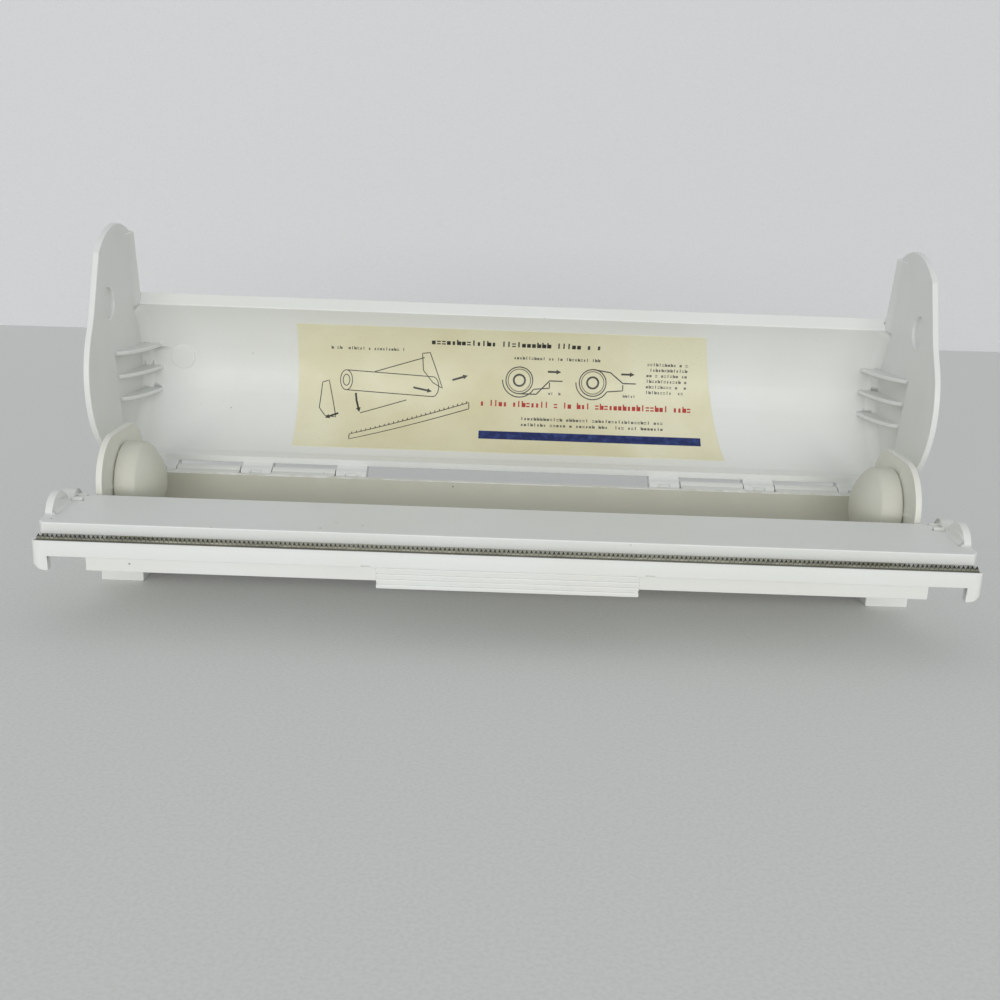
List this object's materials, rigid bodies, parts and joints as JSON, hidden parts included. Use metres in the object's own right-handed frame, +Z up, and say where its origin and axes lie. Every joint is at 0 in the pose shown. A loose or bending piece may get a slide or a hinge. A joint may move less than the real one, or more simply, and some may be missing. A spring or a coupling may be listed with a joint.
{
  "type": "wrap and foil dispenser",
  "caption": "Counter-top box for a kitchen wrap or foil roll, with a hinged lid, sprung roll tabs, a hinged guard bar and a toothed cutting edge.",
  "frame": {"origin": "under the middle of the open part's box, on the surface that the feet stand on", "axes": "+X along the roll to the right, +Y to the back towards the lid's hinge, +Z up"},
  "size_m": [0.3432, 0.1492, 0.1383],
  "materials": {
    "white_plastic": "satin moulded",
    "ivory_plastic": "satin moulded",
    "blade_steel": "stamped strip",
    "pin_steel": "drawn wire",
    "label_paper": "coated sticker"
  },
  "bodies": {
    "base": {"base_tray": "ivory_plastic", "front_rail": "white_plastic", "cutter_blade": "blade_steel", "left_skid_foot": "white_plastic", "right_skid_foot": "white_plastic", "left_hinge_pin": "pin_steel", "right_hinge_pin": "pin_steel", "left_bar_spring": "pin_steel", "right_bar_spring": "pin_steel"},
    "lid": {"lid": "white_plastic", "instruction_label": "label_paper"},
    "guard_bar": {"guard_bar": "white_plastic"},
    "left_tab": {"left_roll_tab": "ivory_plastic"},
    "right_tab": {"right_roll_tab": "ivory_plastic"},
    "left_hub": {"left_roll_hub": "ivory_plastic"},
    "right_hub": {"right_roll_hub": "ivory_plastic"}
  },
  "joints": [
    {"name": "lid_hinge", "type": "hinge", "parent": "base", "child": "lid", "pos_m": [0, 0.03675, 0.0322], "axis": [1, 0, 0], "range_deg": [0, 78]},
    {"name": "guard_bar_hinge", "type": "hinge", "parent": "base", "child": "guard_bar", "pos_m": [0, -0.04025, 0.039], "axis": [1, 0, 0], "range_deg": [0, 8], "stiffness_Nm_per_rad": 0.25, "springref_deg": -4.58, "deforming": ["left_bar_spring", "right_bar_spring"]},
    {"name": "left_tab_flex", "type": "hinge", "parent": "base", "child": "left_tab", "pos_m": [-0.1562, -0.00725, 0.0206], "axis": [0, -1, 0], "range_deg": [0, 5], "stiffness_Nm_per_rad": 0.6, "springref_deg": -1.72},
    {"name": "right_tab_flex", "type": "hinge", "parent": "base", "child": "right_tab", "pos_m": [0.1562, -0.00725, 0.0206], "axis": [0, 1, 0], "range_deg": [0, 5], "stiffness_Nm_per_rad": 0.6, "springref_deg": -1.72},
    {"name": "left_hub_spin", "type": "hinge", "parent": "left_tab", "child": "left_hub", "pos_m": [-0.1507, -0.00725, 0.0392], "axis": [1, 0, 0], "continuous": true},
    {"name": "right_hub_spin", "type": "hinge", "parent": "right_tab", "child": "right_hub", "pos_m": [0.1507, -0.00725, 0.0392], "axis": [1, 0, 0], "continuous": true}
  ]
}
